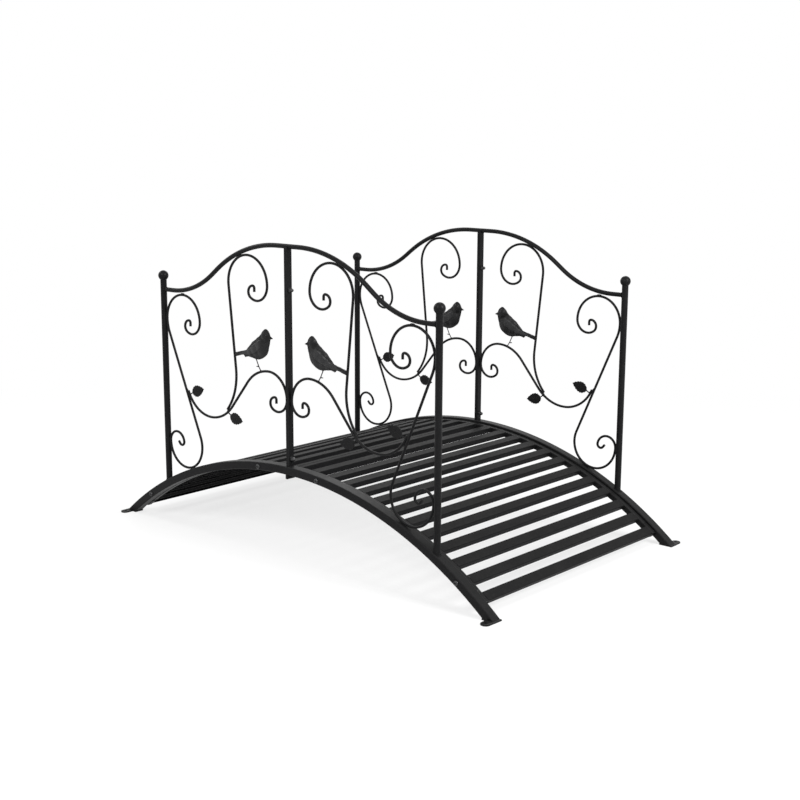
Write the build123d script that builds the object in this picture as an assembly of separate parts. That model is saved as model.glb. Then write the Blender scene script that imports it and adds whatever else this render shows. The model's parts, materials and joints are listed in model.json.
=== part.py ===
from build123d import *
import os
from math import asin, atan, atan2, cos, degrees, hypot, pi, radians, sin, sqrt, tan

# Arched steel garden bridge. X runs along the bridge, Y across it, Z up from the ground.
# Each side has two railing panels that meet at the crown; the walkway has two halves too.

# arch bars, the square bars that carry everything and stand on the ground
span = 1015.0
rise = 184.5
arch_bar_width = 20.0
arch_bar_height = 16.0
arch_bar_corner = 2.0
railing_spacing = 572.6
foot_plate = 2.5
ear_width = 18.0
ear_length = 22.0
ear_inset = 9.5
stake_hole = 6.0
stake_hole_out = 12.0
joint_plate_depth = 8.0
joint_plate_thickness = 2.5

# walkway
deck_drop = 4.5
side_rail_width = 12.0
side_rail_depth = 12.0
side_rail_corner = 1.5
slat_width = 20.0
slat_depth = 10.0
slat_sheet = 1.2
slat_bend = 1.5
slat_count = 12
slat_pitch = 40.7
first_slat = 46.0

# railing posts and top rail
post_x = 370.3
post_diameter = 13.0
post_above_rail = 20.5
ball_diameter = 21.0
ball_rise = 7.5
rail_diameter = 9.0
rail_crown = 603.5
rail_end = 494.0
rail_end_flat = 28.4
rail_straight = 19.2
crown_flat = 29.0
crown_radius = 290.0
upright_thickness = 4.0
upright_width = 12.0
upright_joint = 0.3

# bolts that join the panels and hold the walkway to the arch bars
bolt_hole = 5.0
upright_lower_bolt = 15.0
upright_upper_bolt = 81.0
deck_bolt_drop = 9.0
deck_bolt_distances = (80.7, 422.0)

# scrolls, bent from one size of round rod
rod_diameter = 5.0
post_loop = 51.5
post_lower_loop = 50.5
post_shoulder = 70.0
hook_loop = 55.5
hook_middle = 113.0
hook_lean = 6.0
hook_foot_radius = 110.0
hook_foot_turn = 48.0
branch_loop = 49.5
branch_top = 361.0
branch_shoulder = 80.0
branch_straight = 72.0
branch_low = 246.5
branch_end_radius = 75.0

# ornaments
bird_thickness = 3.0
bird_fullness = 12.0
leg_thickness = 2.2
leaf_length = 37.0
leaf_width = 24.0
leaf_thickness = 2.0
stem_diameter = 2.5
stem_length = 10.5
bird_perch = 16.0
bird_tail_height = 23.0
leaf_teeth = 6
leaf_tooth_depth = 1.2
upper_leaf_turn = 60.0
lower_leaf_turn = 37.5

weld_gap = 0.1

arch_radius = (rise**2 + (span / 2) ** 2) / (2 * rise)
arch_centre = rise - arch_radius
ear_middle_x = span / 2 - ear_inset
post_top = rail_end + post_above_rail
ball_height = post_top + ball_rise
upright_bolt_heights = (rise + upright_lower_bolt, rail_crown - upright_upper_bolt)
deck_radius = arch_radius - deck_drop
rod = rod_diameter / 2
arch_axis = Axis((0, 0, arch_centre), (0, 1, 0))
side_rail_y = railing_spacing / 2 - arch_bar_width / 2 - side_rail_width / 2
slat_length = 2 * (side_rail_y - side_rail_width / 2)
deck_angle = degrees((first_slat + (slat_count - 1) * slat_pitch + slat_width / 2) / deck_radius)

# Railing panels are drawn for the right-hand half: x is the distance from the crown, y is height.
# A bend is (radius, turn in degrees), left turns positive; a straight run is (0, length).


def trace(start, heading, bends):
    """Edges through a list of bends, with the point and heading where they end."""
    edges = []
    point = Vector(*start)
    for radius, amount in bends:
        ahead = Vector(cos(radians(heading)), sin(radians(heading)))
        if radius:
            edge = JernArc(point, ahead, radius, amount)
            heading += amount
        else:
            edge = Line(point, point + ahead * amount)
        edges.append(edge)
        point = edge @ 1
    return edges, point, heading


def backwards(bends):
    """The same bends met from their far end."""
    return [(radius, -amount) if radius else (radius, amount) for radius, amount in reversed(bends)]


def bent_bar(start, heading, bends, diameter):
    """Round bar swept along the bends, in the drawing plane."""
    edges = trace(start, heading, bends)[0]
    section = Plane(edges[0] @ 0, z_dir=edges[0] % 0) * Circle(diameter / 2)
    return sweep(section, path=Wire(edges))


def scroll(through, heading, curl, body, diameter=rod_diameter):
    """Round bar that passes through a point, with its curl behind it and its body ahead."""
    _, tip, back = trace(through, heading + 180, curl)
    return bent_bar((tip.X, tip.Y), back + 180, backwards(curl) + body, diameter)


def straight_bar(start, end, diameter):
    """Round bar between two points of the drawing plane."""
    line = Line(start, end)
    return extrude(Plane(line @ 0, z_dir=line % 0) * Circle(diameter / 2), line.length)


def arch_bar():
    """Half of an arch bar, with its foot plate, stake ear and bolt holes, about its own plane."""
    middle = arch_radius - arch_bar_height / 2
    section = RectangleRounded(arch_bar_width, arch_bar_height, arch_bar_corner)
    start = Plane((0, 0, arch_centre + middle), x_dir=(0, 1, 0), z_dir=(-1, 0, 0))
    bar = revolve(start * section, arch_axis, degrees(asin(span / 2 / arch_radius)) + 3)
    below = Pos(span / 2, 0, foot_plate) * Box(
        span, 3 * arch_bar_width, span, align=(Align.CENTER, Align.CENTER, Align.MAX)
    )
    bar = bar - below
    inner_radius = arch_radius - arch_bar_height
    back = sqrt(inner_radius**2 - (foot_plate - arch_centre) ** 2)
    front = sqrt(arch_radius**2 - arch_centre**2)
    plate = Pos((back + front) / 2, 0) * Rectangle(front - back, arch_bar_width)
    ear_reach = arch_bar_width / 2 + ear_length
    ear = Pos(ear_middle_x, -ear_reach + ear_width / 2) * Circle(ear_width / 2)
    ear += Pos(ear_middle_x, 0) * Rectangle(
        ear_width, ear_reach - ear_width / 2, align=(Align.CENTER, Align.MAX)
    )
    hole = Pos(ear_middle_x, -arch_bar_width / 2 - stake_hole_out) * Circle(stake_hole / 2)
    bar += extrude(plate + ear - hole, foot_plate)
    bar += Pos(0, 0, rise - arch_bar_height / 2) * Box(
        joint_plate_thickness,
        arch_bar_width,
        arch_bar_height / 2 + joint_plate_depth,
        align=(Align.MIN, Align.CENTER, Align.MAX),
    )
    return bar - deck_bolt_holes(arch_bar_width)


def deck_bolt_holes(width):
    """Holes across a bar, where the walkway is bolted to the arch bar."""
    reach = arch_radius - deck_bolt_drop
    holes = []
    for distance in deck_bolt_distances:
        height = arch_centre + sqrt(reach**2 - distance**2)
        holes.append(Pos(distance, 0, height) * Rot(90, 0, 0) * Cylinder(bolt_hole / 2, width * 2))
    return Part() + holes


def side_rail():
    """Half of a walkway side rail, about its own plane."""
    middle = deck_radius - side_rail_depth / 2
    section = RectangleRounded(side_rail_width, side_rail_depth, side_rail_corner)
    start = Plane((0, 0, arch_centre + middle), x_dir=(0, 1, 0), z_dir=(-1, 0, 0))
    return revolve(start * section, arch_axis, deck_angle) - deck_bolt_holes(side_rail_width)


def crown_bar():
    """Cross bar that closes one half of the walkway at the crown."""
    height = arch_centre + deck_radius - side_rail_depth / 2
    bar = Box(side_rail_width, slat_length, side_rail_depth)
    bar = fillet(bar.edges().filter_by(Axis.Y), side_rail_corner)
    return Pos(side_rail_width / 2, 0, height) * bar


def slats():
    """Folded slats of one half of the walkway, each a channel that is open below."""
    outside = Rectangle(slat_width, slat_depth, align=(Align.CENTER, Align.MAX))
    outside = fillet(outside.vertices().group_by(Axis.Y)[-1], slat_bend)
    inside = Pos(0, -slat_sheet) * Rectangle(
        slat_width - 2 * slat_sheet, slat_depth, align=(Align.CENTER, Align.MAX)
    )
    start = Plane((0, slat_length / 2, arch_centre + deck_radius), x_dir=(1, 0, 0), z_dir=(0, -1, 0))
    channel = extrude(start * (outside - inside), slat_length)
    turns = [degrees((first_slat + i * slat_pitch) / deck_radius) for i in range(slat_count)]
    return Compound(children=[channel.rotate(arch_axis, turn) for turn in turns])


def rail_bends():
    """Bends of a top rail, from the crown out to the end post."""
    reach = post_x - crown_flat - rail_end_flat
    slope, radii = s_bend(reach, rail_crown - rail_end, rail_straight)
    return [
        (0, crown_flat),
        (crown_radius, -slope),
        (0, rail_straight),
        (radii - crown_radius, slope),
        (0, rail_end_flat),
    ]


def top_rail():
    """Half of a top rail, coped round the end post."""
    rail = bent_bar((0, rail_crown), 0, rail_bends(), rail_diameter)
    post = Pos(post_x, rail_end) * Rot(90, 0, 0) * Cylinder(post_diameter / 2 + weld_gap, post_top)
    return rail - post


def end_post():
    """Round end post with its ball, standing on the arch bar."""
    tube = Pos(post_x, 0) * Rot(-90, 0, 0) * Cylinder(
        post_diameter / 2, ball_height, align=(Align.CENTER, Align.CENTER, Align.MIN)
    )
    seat = Pos(0, arch_centre) * Cylinder(arch_radius + weld_gap, 2 * post_diameter)
    return tube - seat + Pos(post_x, ball_height) * Sphere(ball_diameter / 2)


def upright():
    """Flat centre upright, with the holes for the bolts to its twin."""
    foot = arch_centre + arch_radius + weld_gap
    bar = Pos(upright_joint / 2, foot) * Box(
        upright_thickness, rail_crown - foot, upright_width, align=(Align.MIN, Align.MIN, Align.CENTER)
    )
    rail_seat = Pos(0, rail_crown) * Rot(0, 90, 0) * Cylinder(rail_diameter / 2 + weld_gap, post_x)
    holes = [
        Pos(0, height) * Rot(0, 90, 0) * Cylinder(bolt_hole / 2, post_x)
        for height in upright_bolt_heights
    ]
    return bar - rail_seat - holes


def curl(second_radius, third_radius=12.5, tip_radius=4.5):
    """Bends of a scroll's inner end, wound in from the side of its loop."""
    return [(second_radius, 125), (third_radius, 145), (tip_radius, 90), (0, 7)]


def s_bend(reach, fall, straight):
    """Slope in degrees, and the two radii added, of an S of two arcs joined by a straight run."""
    slope = 2 * atan(fall / (reach + straight))
    return degrees(slope), (reach - straight * cos(slope)) / sin(slope)


# post scroll: an S that touches the top rail, the end post twice and the arch bar
post_loop_x = post_x - post_diameter / 2 - weld_gap - rod - post_loop
post_loop_y = rail_end - rail_diameter / 2 - weld_gap - rod - post_loop
lower_loop_x = post_x - post_diameter / 2 - weld_gap - rod - post_lower_loop
lower_loop_reach = arch_radius + weld_gap + rod + post_lower_loop
lower_loop_y = arch_centre + sqrt(lower_loop_reach**2 - lower_loop_x**2)
shoulder_x = post_loop_x + post_loop - post_shoulder
loops_apart = hypot(lower_loop_x - shoulder_x, lower_loop_y - post_loop_y)
loops_angle = degrees(atan2(lower_loop_y - post_loop_y, lower_loop_x - shoulder_x))
cross_angle = degrees(asin((post_shoulder + post_lower_loop) / loops_apart))
fall_heading = loops_angle - cross_angle
fall_turn = -90 - fall_heading
fall_length = loops_apart * cos(radians(cross_angle))

# branch: from its loop beside the upright down to its low point, then up to lie on the post scroll
branch_loop_x = upright_joint / 2 + upright_thickness + weld_gap + rod + branch_loop
branch_end_turn = 180 + fall_heading
fall_start_x = shoulder_x + post_shoulder * cos(radians(fall_turn))
fall_start_y = post_loop_y - post_shoulder * sin(radians(fall_turn))
branch_line_x = fall_start_x - (rod_diameter + weld_gap) * cos(radians(fall_turn))
branch_line_y = fall_start_y + (rod_diameter + weld_gap) * sin(radians(fall_turn))
branch_end_y = branch_low + branch_end_radius * (1 - cos(radians(branch_end_turn)))
branch_end_x = branch_line_x - (branch_line_y - branch_end_y) * tan(radians(fall_turn))
branch_low_x = branch_end_x - branch_end_radius * sin(radians(branch_end_turn))
branch_fall, branch_radii = s_bend(
    branch_low_x - branch_loop_x, branch_top - branch_low, branch_straight
)
branch_sag = branch_radii - branch_shoulder

# hook: its loop nests under the crown bend of the top rail
hook_gap = crown_radius - rail_diameter / 2 - weld_gap - rod - hook_loop
hook_y = rail_crown - crown_radius + sqrt(hook_gap**2 - (hook_middle - crown_flat) ** 2)


def post_scroll():
    lower_curl = [(21.8, 170), (7.5, 150), (0, 6)]
    body = [
        (post_loop, -180),
        (post_shoulder, -fall_turn),
        (0, fall_length),
        (post_lower_loop, fall_turn + 180),
    ]
    return scroll((post_loop_x - post_loop, post_loop_y), 90, curl(26), body + lower_curl)


def branch_body():
    """Bends of the branch from its loop to its low point."""
    start = (branch_loop_x - branch_loop, branch_top - branch_loop)
    return start, [
        (branch_loop, -90),
        (branch_shoulder, -branch_fall),
        (0, branch_straight),
        (branch_sag, branch_fall),
    ]


def branch_scroll():
    start, body = branch_body()
    return scroll(start, 90, curl(26), body + [(branch_end_radius, branch_end_turn)])


def hook_body():
    """Bends of the hook from its loop down to where it rests on the branch."""
    start = (hook_middle - hook_loop, hook_y)
    bends = [(hook_loop, -180 - hook_lean)]
    _, shoulder, heading = trace(start, 90, bends)
    _, foot, _ = trace((0, 0), heading, [(hook_foot_radius, hook_foot_turn)])
    ahead = Vector(cos(radians(heading)), sin(radians(heading)))
    to_foot = shoulder + foot - Vector(branch_low_x, branch_low + branch_sag)
    reach = branch_sag - rod_diameter - weld_gap
    along = to_foot.dot(ahead)
    length = -along + sqrt(along**2 - to_foot.dot(to_foot) + reach**2)
    return start, bends + [(0, length), (hook_foot_radius, hook_foot_turn)]


def hook_scroll():
    start, body = hook_body()
    return scroll(start, 90, curl(30.5), body)


def grown_rods():
    """The branch and the hook, a weld gap thicker, to seat the bird against."""
    thick = rod_diameter + 2 * weld_gap
    hook_start, hook = hook_body()
    branch_start, branch = branch_body()
    return bent_bar(hook_start, 90, hook, thick), bent_bar(branch_start, 90, branch, thick)


def crowned(middle, radius, height):
    """Lens with a round outline in the drawing plane, crowned on both faces."""
    ball = (radius**2 + height**2) / (2 * height)
    near = Pos(middle[0], middle[1], height - ball) * Sphere(ball)
    far = Pos(middle[0], middle[1], ball - height) * Sphere(ball)
    return near & far


def bird(tail_reach):
    """Plump bird in profile about its foot, with its tail as long as tail_reach."""
    front = Spline((-28, 69.5), (-24.5, 77), (-16, 82.5), (-4, 73), (19, 55), (40, 36))
    tail = Polyline((40, 36), (tail_reach, 27), (tail_reach, 18.5), (49, 26), (43, 21))
    belly = Spline((43, 21), (27, 23), (9, 20.5), (-9, 26), (-22, 43), (-28.5, 63.5))
    beak = Polyline((-28.5, 63.5), (-36, 65), (-28, 69.5))
    body = extrude(make_face(front + tail + belly + beak), bird_thickness / 2, both=True)
    body += crowned((-3, 46), 21, bird_fullness / 2)
    body += crowned((12, 41), 17, bird_fullness * 0.45)
    body += crowned((26, 33), 11, bird_fullness * 0.33)
    body += crowned((-14.5, 67.5), 13, bird_fullness * 0.42)
    leg = straight_bar((14, 24), (5, 6), leg_thickness)
    leg += straight_bar((5, 6.5), (0, -1), leg_thickness)
    leg += straight_bar((5, 6.5), (12, 7), leg_thickness)
    return body + leg


def perched_bird():
    """The bird on the branch's shoulder, with its tail against the hook."""
    reach = branch_shoulder + rod + weld_gap
    foot_x = branch_loop_x + reach * sin(radians(bird_perch))
    foot_y = branch_top - branch_shoulder + reach * cos(radians(bird_perch))
    hook_start, hook = hook_body()
    shoulder = trace(hook_start, 90, hook[:1])[1]
    drop = shoulder.Y - foot_y - bird_tail_height
    hook_x = shoulder.X - drop * tan(radians(hook_lean))
    hook_seat, branch_seat = grown_rods()
    whole = Pos(foot_x, foot_y) * bird(hook_x - foot_x)
    return largest(whole - hook_seat - branch_seat)


def leaf_edge():
    """Toothed edge of a leaf, from its tip back to its base."""
    points = [(leaf_length, 0)]
    for tooth in range(leaf_teeth, 0, -1):
        for back, depth in ((0.15, leaf_tooth_depth), (0.55, 0)):
            share = (tooth - back) / (leaf_teeth + 0.4)
            height = leaf_width / 2 * sin(pi * share**0.75) ** 0.8
            points.append((leaf_length * share, height - depth))
    return points + [(0, 0)]


def leaf(turn, stem_turn, rod_turn):
    """Toothed leaf with its stem coped to a rod that runs through the origin at rod_turn."""
    upper = leaf_edge()
    lower = [(x, -y) for x, y in reversed(upper[1:-1])]
    blade = extrude(make_face(Polyline(*upper, *lower, close=True)), leaf_thickness / 2, both=True)
    base = Vector(stem_length * cos(radians(stem_turn)), stem_length * sin(radians(stem_turn)))
    inside = base + Vector(leaf_width / 4, 0).rotate(Axis.Z, turn)
    stem = straight_bar((0, 0), (inside.X, inside.Y), stem_diameter)
    end = Vector(stem_length, 0).rotate(Axis.Z, rod_turn)
    seat = straight_bar((-end.X, -end.Y), (end.X, end.Y), rod_diameter + 2 * weld_gap)
    return Pos(base) * Rot(0, 0, turn) * blade + (stem - seat)


def leaves():
    """One leaf on each side of the branch's low point, each square to the rod it grows from."""
    after = radians(upper_leaf_turn)
    before = radians(lower_leaf_turn)
    upper = Pos(
        branch_low_x + branch_end_radius * sin(after),
        branch_low + branch_end_radius * (1 - cos(after)),
    )
    lower = Pos(
        branch_low_x - branch_sag * sin(before),
        branch_low + branch_sag * (1 - cos(before)),
    )
    return [
        largest(upper * leaf(162, upper_leaf_turn + 90, upper_leaf_turn)),
        largest(lower * leaf(189, 270 - lower_leaf_turn, -lower_leaf_turn)),
    ]


def place(part, side, half):
    """Puts a part drawn for the right-hand half on its side and half of the bridge."""
    part = Pos(0, side * railing_spacing / 2) * (Plane.XZ * part)
    return mirror(part, Plane.YZ) if half < 0 else part


def largest(part):
    return max(part.solids(), key=lambda solid: solid.volume)


def save(part, name):
    export_step(part, f"parts/{name}.step")


os.makedirs("parts", exist_ok=True)

panel = {
    "end_post": end_post(),
    "top_rail": top_rail(),
    "centre_upright": upright(),
    "post_scroll": post_scroll(),
    "branch_scroll": branch_scroll(),
    "hook_scroll": hook_scroll(),
    "bird": perched_bird(),
    "leaves": Compound(children=leaves()),
}
bar = arch_bar()
rail = side_rail()

for side, side_name in ((-1, "front"), (1, "rear")):
    for half, half_name in ((-1, "left"), (1, "right")):
        for piece_name, piece in panel.items():
            save(place(piece, side, half), f"{side_name}_{half_name}_{piece_name}")
        placed_bar = bar if side < 0 else mirror(bar, Plane.XZ)
        placed_bar = Pos(0, side * railing_spacing / 2) * placed_bar
        placed_rail = Pos(0, side * side_rail_y) * rail
        if half < 0:
            placed_bar = mirror(placed_bar, Plane.YZ)
            placed_rail = mirror(placed_rail, Plane.YZ)
        save(placed_bar, f"{side_name}_{half_name}_arch_bar")
        save(placed_rail, f"{side_name}_{half_name}_side_rail")

right_slats = slats()
right_crown_bar = crown_bar()
save(right_slats, "right_deck_slats")
save(mirror(right_slats, Plane.YZ), "left_deck_slats")
save(right_crown_bar, "right_crown_bar")
save(mirror(right_crown_bar, Plane.YZ), "left_crown_bar")
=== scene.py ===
import bpy
import bmesh
import json
from math import asin, atan, atan2, cos, degrees, floor, hypot, pi, radians, sin, sqrt, tan
from mathutils import Matrix, Vector


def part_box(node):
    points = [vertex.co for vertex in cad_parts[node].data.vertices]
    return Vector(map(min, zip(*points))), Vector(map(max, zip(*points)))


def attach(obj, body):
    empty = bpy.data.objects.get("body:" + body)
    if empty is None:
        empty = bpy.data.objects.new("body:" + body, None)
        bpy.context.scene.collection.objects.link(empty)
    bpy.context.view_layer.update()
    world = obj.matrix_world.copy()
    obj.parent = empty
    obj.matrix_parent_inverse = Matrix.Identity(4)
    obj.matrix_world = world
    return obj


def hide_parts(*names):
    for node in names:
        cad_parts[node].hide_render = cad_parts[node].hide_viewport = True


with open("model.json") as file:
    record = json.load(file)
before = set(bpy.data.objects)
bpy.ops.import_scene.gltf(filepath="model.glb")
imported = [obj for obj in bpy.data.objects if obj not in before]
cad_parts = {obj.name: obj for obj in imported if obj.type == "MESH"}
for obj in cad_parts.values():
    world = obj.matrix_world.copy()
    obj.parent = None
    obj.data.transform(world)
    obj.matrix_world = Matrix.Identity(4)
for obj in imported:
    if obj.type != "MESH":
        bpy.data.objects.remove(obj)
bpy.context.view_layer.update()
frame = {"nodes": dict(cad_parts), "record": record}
print("frame loaded:", len(frame["nodes"]), "nodes")

# sizes in mm, as the frame has them; u is the distance along the bridge from its crown
bridge = {
    "span": 1015.0, "rise": 184.5, "spacing": 572.6, "barWidth": 20.0, "barDepth": 16.0, "deckDrop": 4.5,
    "sideRail": 12.0, "slatPitch": 40.7, "firstSlat": 46.0, "slatWidth": 20.0, "slatCount": 12,
    "postX": 370.3, "postSize": 13.0, "topRail": 9.0, "railCrown": 603.5, "railEnd": 494.0,
    "crownFlat": 29.0, "crownRadius": 290.0, "uprightFace": 4.15, "rod": 5.0, "gap": 0.1,
    "boltDrop": 9.0, "deckBolts": (80.7, 422.0), "uprightBolts": (199.5, 522.5),
}
panelY = bridge["spacing"] / 2
halfRod = bridge["rod"] / 2
reachRod = halfRod + bridge["gap"]
archRadius = (bridge["rise"]**2 + (bridge["span"] / 2)**2) / (2 * bridge["rise"])
archCentre = bridge["rise"] - archRadius
deckRadius = archRadius - bridge["deckDrop"]
sideRailY = panelY - bridge["barWidth"] / 2 - bridge["sideRail"] / 2
slatEndY = sideRailY - bridge["sideRail"] / 2
mergeDistance = 2e-5  # in metres, for the frame's loose triangles
sameSpot = 1e-7  # in metres, for points that coincide
unturned = (0.0, 0.0, 0.0)
unstretched = (1.0, 1.0, 1.0)


def archHeight(u, drop=0.0):
    return archCentre + sqrt((archRadius - drop)**2 - u * u)


def polar(middle, radius, angle):
    return Vector((middle[0] + radius * cos(radians(angle)), middle[1] + radius * sin(radians(angle))))


# shader groups: effects that several finishes share
effects = {
    "speckFrom": 0.5, "speckGain": 5.0, "rubFrom": 0.62, "rubGain": 9.0,
    "upwardPower": 2.0, "cloudScale": 14.0, "perMetre": 1000.0,
}


def shaderGroup(name, inputs, outputs):
    group = bpy.data.node_groups.new(name, "ShaderNodeTree")
    for label, value in inputs.items():
        socket = group.interface.new_socket(name=label, in_out="INPUT", socket_type="NodeSocketFloat")
        socket.default_value = value
    for label in outputs:
        group.interface.new_socket(name=label, in_out="OUTPUT", socket_type="NodeSocketFloat")
    return group, group.nodes.new("NodeGroupInput"), group.nodes.new("NodeGroupOutput")


def mathNode(tree, operation, first, second=None):
    node = tree.nodes.new("ShaderNodeMath")
    node.operation = operation
    for slot, value in enumerate((first, second)):
        if value is None:
            continue
        if isinstance(value, (int, float)):
            node.inputs[slot].default_value = value
        else:
            tree.links.new(value, node.inputs[slot])
    return node.outputs[0]


def risingFrom(tree, value, start, gain):  # 0 up to the start, then rising to 1
    above = mathNode(tree, "MULTIPLY", mathNode(tree, "SUBTRACT", value, start), gain)
    return mathNode(tree, "MINIMUM", mathNode(tree, "MAXIMUM", above, 0.0), 1.0)


def noiseNode(tree, coordinates, scale, detail, roughness):
    node = tree.nodes.new("ShaderNodeTexNoise")
    tree.links.new(coordinates, node.inputs["Vector"])
    if isinstance(scale, (int, float)):
        node.inputs["Scale"].default_value = scale
    else:
        tree.links.new(scale, node.inputs["Scale"])
    node.inputs["Detail"].default_value = detail
    node.inputs["Roughness"].default_value = roughness
    return node.outputs[0]


def coatGrainGroup():  # the fine orange peel of powder coat, its specks, and slow patches of sheen
    scales = {"Peel scale": 1200.0, "Speck scale": 480.0, "Patch scale": 8.0}
    group, given, made = shaderGroup("coatGrain", scales, ("Height", "Specks", "Patches"))
    place = group.nodes.new("ShaderNodeTexCoord").outputs["Object"]
    noise = noiseNode(group, place, given.outputs["Speck scale"], detail=3.0, roughness=0.6)
    specks = risingFrom(group, noise, effects["speckFrom"], effects["speckGain"])
    peel = noiseNode(group, place, given.outputs["Peel scale"], detail=2.0, roughness=0.45)
    patches = noiseNode(group, place, given.outputs["Patch scale"], detail=4.0, roughness=0.6)
    group.links.new(specks, made.inputs["Specks"])
    group.links.new(peel, made.inputs["Height"])
    group.links.new(patches, made.inputs["Patches"])
    return group


def settledDustGroup():  # thin dust on what faces up, broken by noise
    group, given, made = shaderGroup("settledDust", {"Amount": 0.3, "Grain": 160.0}, ("Mask",))
    coordinates = group.nodes.new("ShaderNodeTexCoord")
    place = coordinates.outputs["Object"]
    split = group.nodes.new("ShaderNodeSeparateXYZ")
    group.links.new(coordinates.outputs["Normal"], split.inputs[0])
    upright = mathNode(group, "MAXIMUM", split.outputs["Z"], 0.0)
    upward = mathNode(group, "POWER", upright, effects["upwardPower"])
    speckle = noiseNode(group, place, given.outputs["Grain"], detail=5.0, roughness=0.7)
    cloud = noiseNode(group, place, effects["cloudScale"], detail=3.0, roughness=0.6)
    broken = mathNode(group, "MULTIPLY", speckle, cloud)
    settled = mathNode(group, "MULTIPLY", upward, broken)
    group.links.new(mathNode(group, "MULTIPLY", settled, given.outputs["Amount"]), made.inputs["Mask"])
    return group


def edgeRubGroup():  # small bright rubs where the coat is worn thin
    group, given, made = shaderGroup("edgeRub", {"Amount": 0.2, "Rub scale": 60.0}, ("Mask",))
    place = group.nodes.new("ShaderNodeTexCoord").outputs["Object"]
    coarse = noiseNode(group, place, given.outputs["Rub scale"], detail=6.0, roughness=0.75)
    sharp = risingFrom(group, coarse, effects["rubFrom"], effects["rubGain"])
    group.links.new(mathNode(group, "MULTIPLY", sharp, given.outputs["Amount"]), made.inputs["Mask"])
    return group


def featherBarbsGroup():  # fine lines along the feathers, from the head towards the tail
    sizes = {"Barb length": 7.0, "Barb width": 0.8, "Lean": 36.0}
    group, given, made = shaderGroup("featherBarbs", sizes, ("Height",))

    def product(first, second):
        return mathNode(group, "MULTIPLY", first, second)

    split = group.nodes.new("ShaderNodeSeparateXYZ")
    group.links.new(group.nodes.new("ShaderNodeTexCoord").outputs["Object"], split.inputs[0])
    across = product(mathNode(group, "ABSOLUTE", split.outputs["X"]), effects["perMetre"])
    up = product(split.outputs["Z"], effects["perMetre"])
    lean = mathNode(group, "RADIANS", given.outputs["Lean"])
    cosine = mathNode(group, "COSINE", lean)
    sine = mathNode(group, "SINE", lean)
    towardsTail = mathNode(group, "SUBTRACT", product(across, cosine), product(up, sine))
    overBack = mathNode(group, "ADD", product(across, sine), product(up, cosine))
    spot = group.nodes.new("ShaderNodeCombineXYZ")
    group.links.new(mathNode(group, "DIVIDE", towardsTail, given.outputs["Barb length"]), spot.inputs["X"])
    group.links.new(mathNode(group, "DIVIDE", overBack, given.outputs["Barb width"]), spot.inputs["Y"])
    barbs = noiseNode(group, spot.outputs[0], 1.0, detail=2.0, roughness=0.5)
    group.links.new(barbs, made.inputs["Height"])
    return group


groups = {
    "grain": coatGrainGroup(), "dust": settledDustGroup(),
    "rub": edgeRubGroup(), "barbs": featherBarbsGroup(),
}

# the black powder coat that every finish starts from
blackCoat = {
    "deep": (0.003, 0.003, 0.0032), "tone": (0.0085, 0.0085, 0.009), "speck": (0.0125, 0.0125, 0.013),
    "worn": (0.045, 0.045, 0.046), "rub": 0.08, "rubScale": 55.0,
    "dustTone": (0.085, 0.084, 0.08), "dust": 0.2, "dustGrain": 160.0, "dustRough": 0.35,
    "peel": 1200.0, "specks": 480.0, "patches": 8.0, "bump": 0.5, "peelDepth": 0.00014,
    "rough": 0.3, "roughSpread": 0.2, "shine": 0.08, "metal": 0.0,
}


def coatMaterial(name, changes):
    look = {**blackCoat, **changes}
    material = bpy.data.materials.new(name)
    material.use_nodes = True
    tree = material.node_tree
    shader = tree.nodes["Principled BSDF"]
    shader.inputs["Specular IOR Level"].default_value = look["shine"]
    shader.inputs["Metallic"].default_value = look["metal"]

    def group(kind, values):
        node = tree.nodes.new("ShaderNodeGroup")
        node.node_tree = groups[kind]
        for label, value in values.items():
            node.inputs[label].default_value = look[value]
        return node

    def mix(mask, low, high):
        node = tree.nodes.new("ShaderNodeMix")
        node.data_type = "RGBA"
        tree.links.new(mask, node.inputs["Factor"])
        for socket, value in ((node.inputs[6], low), (node.inputs[7], high)):  # the node's pair of colours
            if isinstance(value, tuple):
                socket.default_value = (*value, 1.0)
            else:
                tree.links.new(value, socket)
        return node.outputs[2]

    grain = group("grain", {"Peel scale": "peel", "Speck scale": "specks", "Patch scale": "patches"})
    dust = group("dust", {"Amount": "dust", "Grain": "dustGrain"}).outputs["Mask"]
    rub = group("rub", {"Amount": "rub", "Rub scale": "rubScale"}).outputs["Mask"]
    colour = mix(grain.outputs["Patches"], look["deep"], look["tone"])
    colour = mix(grain.outputs["Specks"], colour, look["speck"])
    colour = mix(rub, colour, look["worn"])
    height = grain.outputs["Height"]
    if "paintedHighlightTips" in look:  # the raised feathers are painted lighter, a painted highlight on their high points
        relief = tree.nodes.new("ShaderNodeAttribute")
        relief.attribute_name = "relief"
        colour = mix(relief.outputs["Fac"], colour, look["paintedHighlightTips"])
        barbs = group("barbs", {"Barb length": "barbLength", "Barb width": "barbWidth", "Lean": "barbLean"})
        peel = mathNode(tree, "MULTIPLY", height, look["peelShare"])
        height = mathNode(tree, "ADD", barbs.outputs["Height"], peel)
    colour = mix(dust, colour, look["dustTone"])
    tree.links.new(colour, shader.inputs["Base Color"])
    spread = mathNode(tree, "MULTIPLY", grain.outputs["Patches"], look["roughSpread"])
    rough = mathNode(tree, "ADD", spread, look["rough"])
    rough = mathNode(tree, "ADD", rough, mathNode(tree, "MULTIPLY", dust, look["dustRough"]))
    tree.links.new(rough, shader.inputs["Roughness"])
    bump = tree.nodes.new("ShaderNodeBump")
    bump.inputs["Strength"].default_value = look["bump"]
    bump.inputs["Distance"].default_value = look["peelDepth"]
    tree.links.new(height, bump.inputs["Height"])
    tree.links.new(bump.outputs["Normal"], shader.inputs["Normal"])
    return material


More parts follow.
